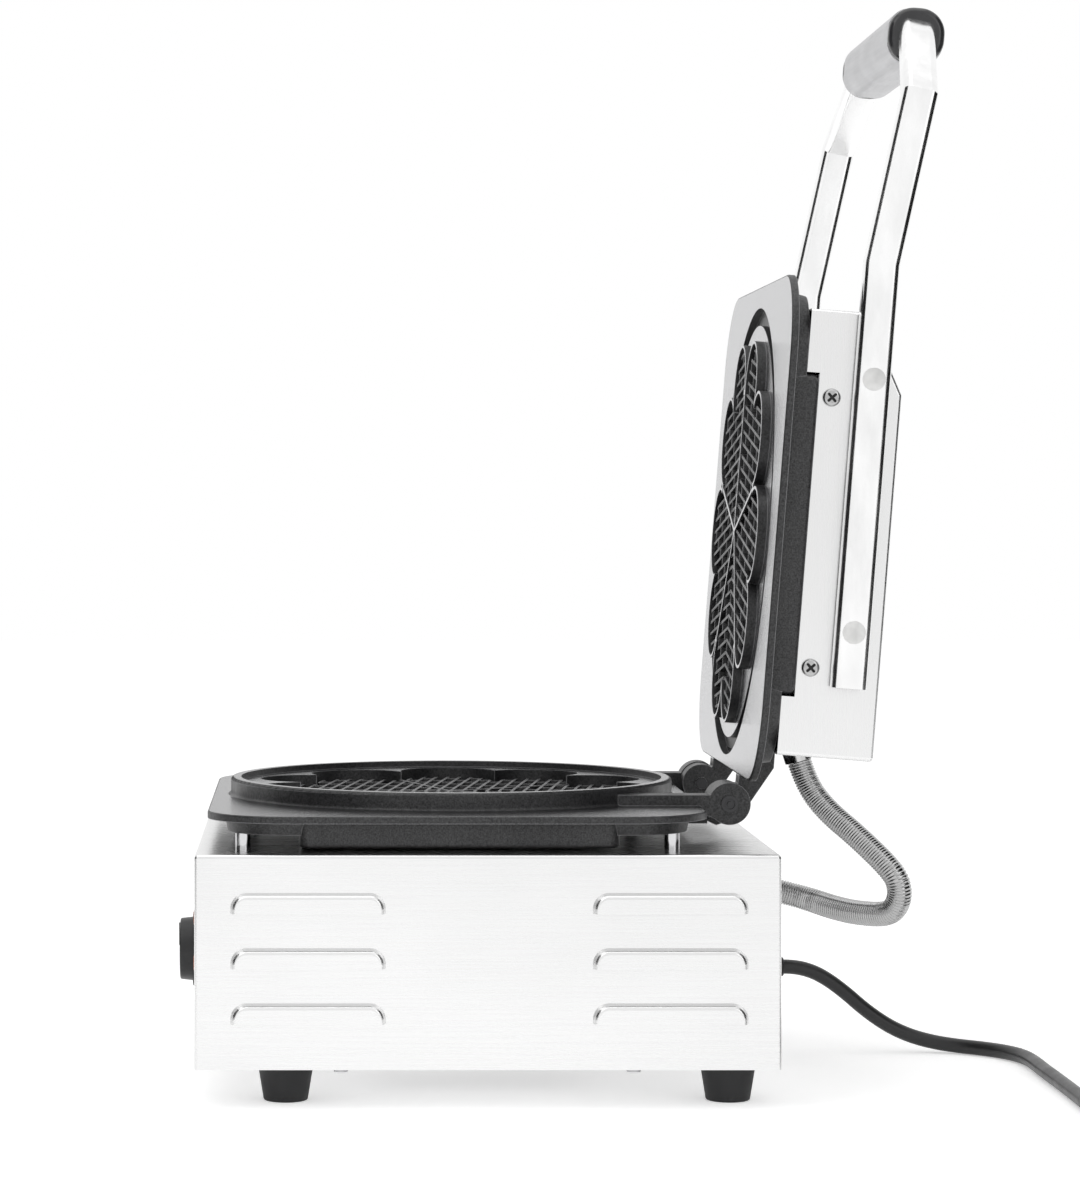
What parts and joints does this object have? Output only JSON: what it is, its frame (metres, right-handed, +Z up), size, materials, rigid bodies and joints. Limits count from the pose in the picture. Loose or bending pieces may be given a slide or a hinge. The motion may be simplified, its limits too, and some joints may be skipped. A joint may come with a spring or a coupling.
{
  "type": "heart waffle maker",
  "caption": "Tabletop waffle maker with a hinged cast-iron lid on a vented steel base; its tubular handle swings the upper heart plate over the lower one.",
  "frame": {"origin": "centre of the object's footprint at the bottom of the feet, without the free cord", "axes": "+X towards the object's right side as seen from behind, +Y from the control panel to the back, +Z up"},
  "size_m": [0.3875, 0.5846, 0.5626],
  "materials": {
    "stainless_sheet": "satin, lightly brushed",
    "polished_steel": "polished",
    "plain_steel": "plain",
    "iron": "seasoned, semi-gloss",
    "heater_sheath": "heat tinted",
    "grip_metal": "matte",
    "cap_plastic": "glossy",
    "plug_button": "matte",
    "pin_steel": "blackened",
    "knob_plastic": "satin",
    "switch_plastic": "satin",
    "rocker_plastic": "glossy",
    "lamp_lens": "clear glossy",
    "terminal_plastic": "matte",
    "foot_rubber": "matte",
    "gland_plastic": "matte",
    "cord_rubber": "satin",
    "plug_plastic": "satin",
    "pin_brass": "nickel plated",
    "conduit_metal": "polished",
    "fitting_metal": "polished"
  },
  "bodies": {
    "base": {"base_shell": "stainless_sheet", "base_floor": "stainless_sheet", "floor_screws": "polished_steel", "feet": "foot_rubber", "foot_screws": "plain_steel", "plate_posts": "polished_steel", "post_bolts": "plain_steel", "lower_plate": "iron", "hinge_pins": "pin_steel", "lower_heating_element": "heater_sheath", "lower_heater_cover": "plain_steel", "lower_heater_screws": "plain_steel", "thermostat_body": "terminal_plastic", "thermostat_bulb": "pin_brass", "switch_body": "switch_plastic", "pilot_lamps": "lamp_lens", "terminal_block": "terminal_plastic", "base_conduit_fitting": "fitting_metal", "conduit": "conduit_metal", "cord_gland": "gland_plastic", "power_cord": "cord_rubber", "cord_coil": "cord_rubber", "plug_body": "plug_plastic", "plug_pins": "pin_brass"},
    "lid": {"upper_plate": "iron", "upper_heating_element": "heater_sheath", "upper_heater_cover": "plain_steel", "upper_heater_screws": "plain_steel", "lid_cover": "stainless_sheet", "lid_brackets": "plain_steel", "cover_screws": "polished_steel", "right_handle_arm": "polished_steel", "left_handle_arm": "polished_steel", "arm_bolts": "plain_steel", "arm_plugs": "plug_button", "handle_grip": "grip_metal", "grip_caps": "cap_plastic", "grip_tie_rod": "plain_steel", "lid_conduit_fitting": "fitting_metal"},
    "knob": {"thermostat_knob": "knob_plastic", "thermostat_shaft": "plain_steel"},
    "rocker": {"switch_rocker": "rocker_plastic"}
  },
  "joints": [
    {"name": "lid_hinge", "type": "hinge", "parent": "base", "child": "lid", "pos_m": [0, 0.08866, 0.148], "axis": [1, 0, 0], "range_deg": [0, 94.5], "deforming": ["conduit"]},
    {"name": "thermostat_turn", "type": "hinge", "parent": "base", "child": "knob", "pos_m": [0, -0.18764, 0.0625], "axis": [0, 1, 0], "range_deg": [0, 270]},
    {"name": "switch_rock", "type": "hinge", "parent": "base", "child": "rocker", "pos_m": [-0.078, -0.18264, 0.074], "axis": [1, 0, 0], "range_deg": [0, 16]}
  ]
}
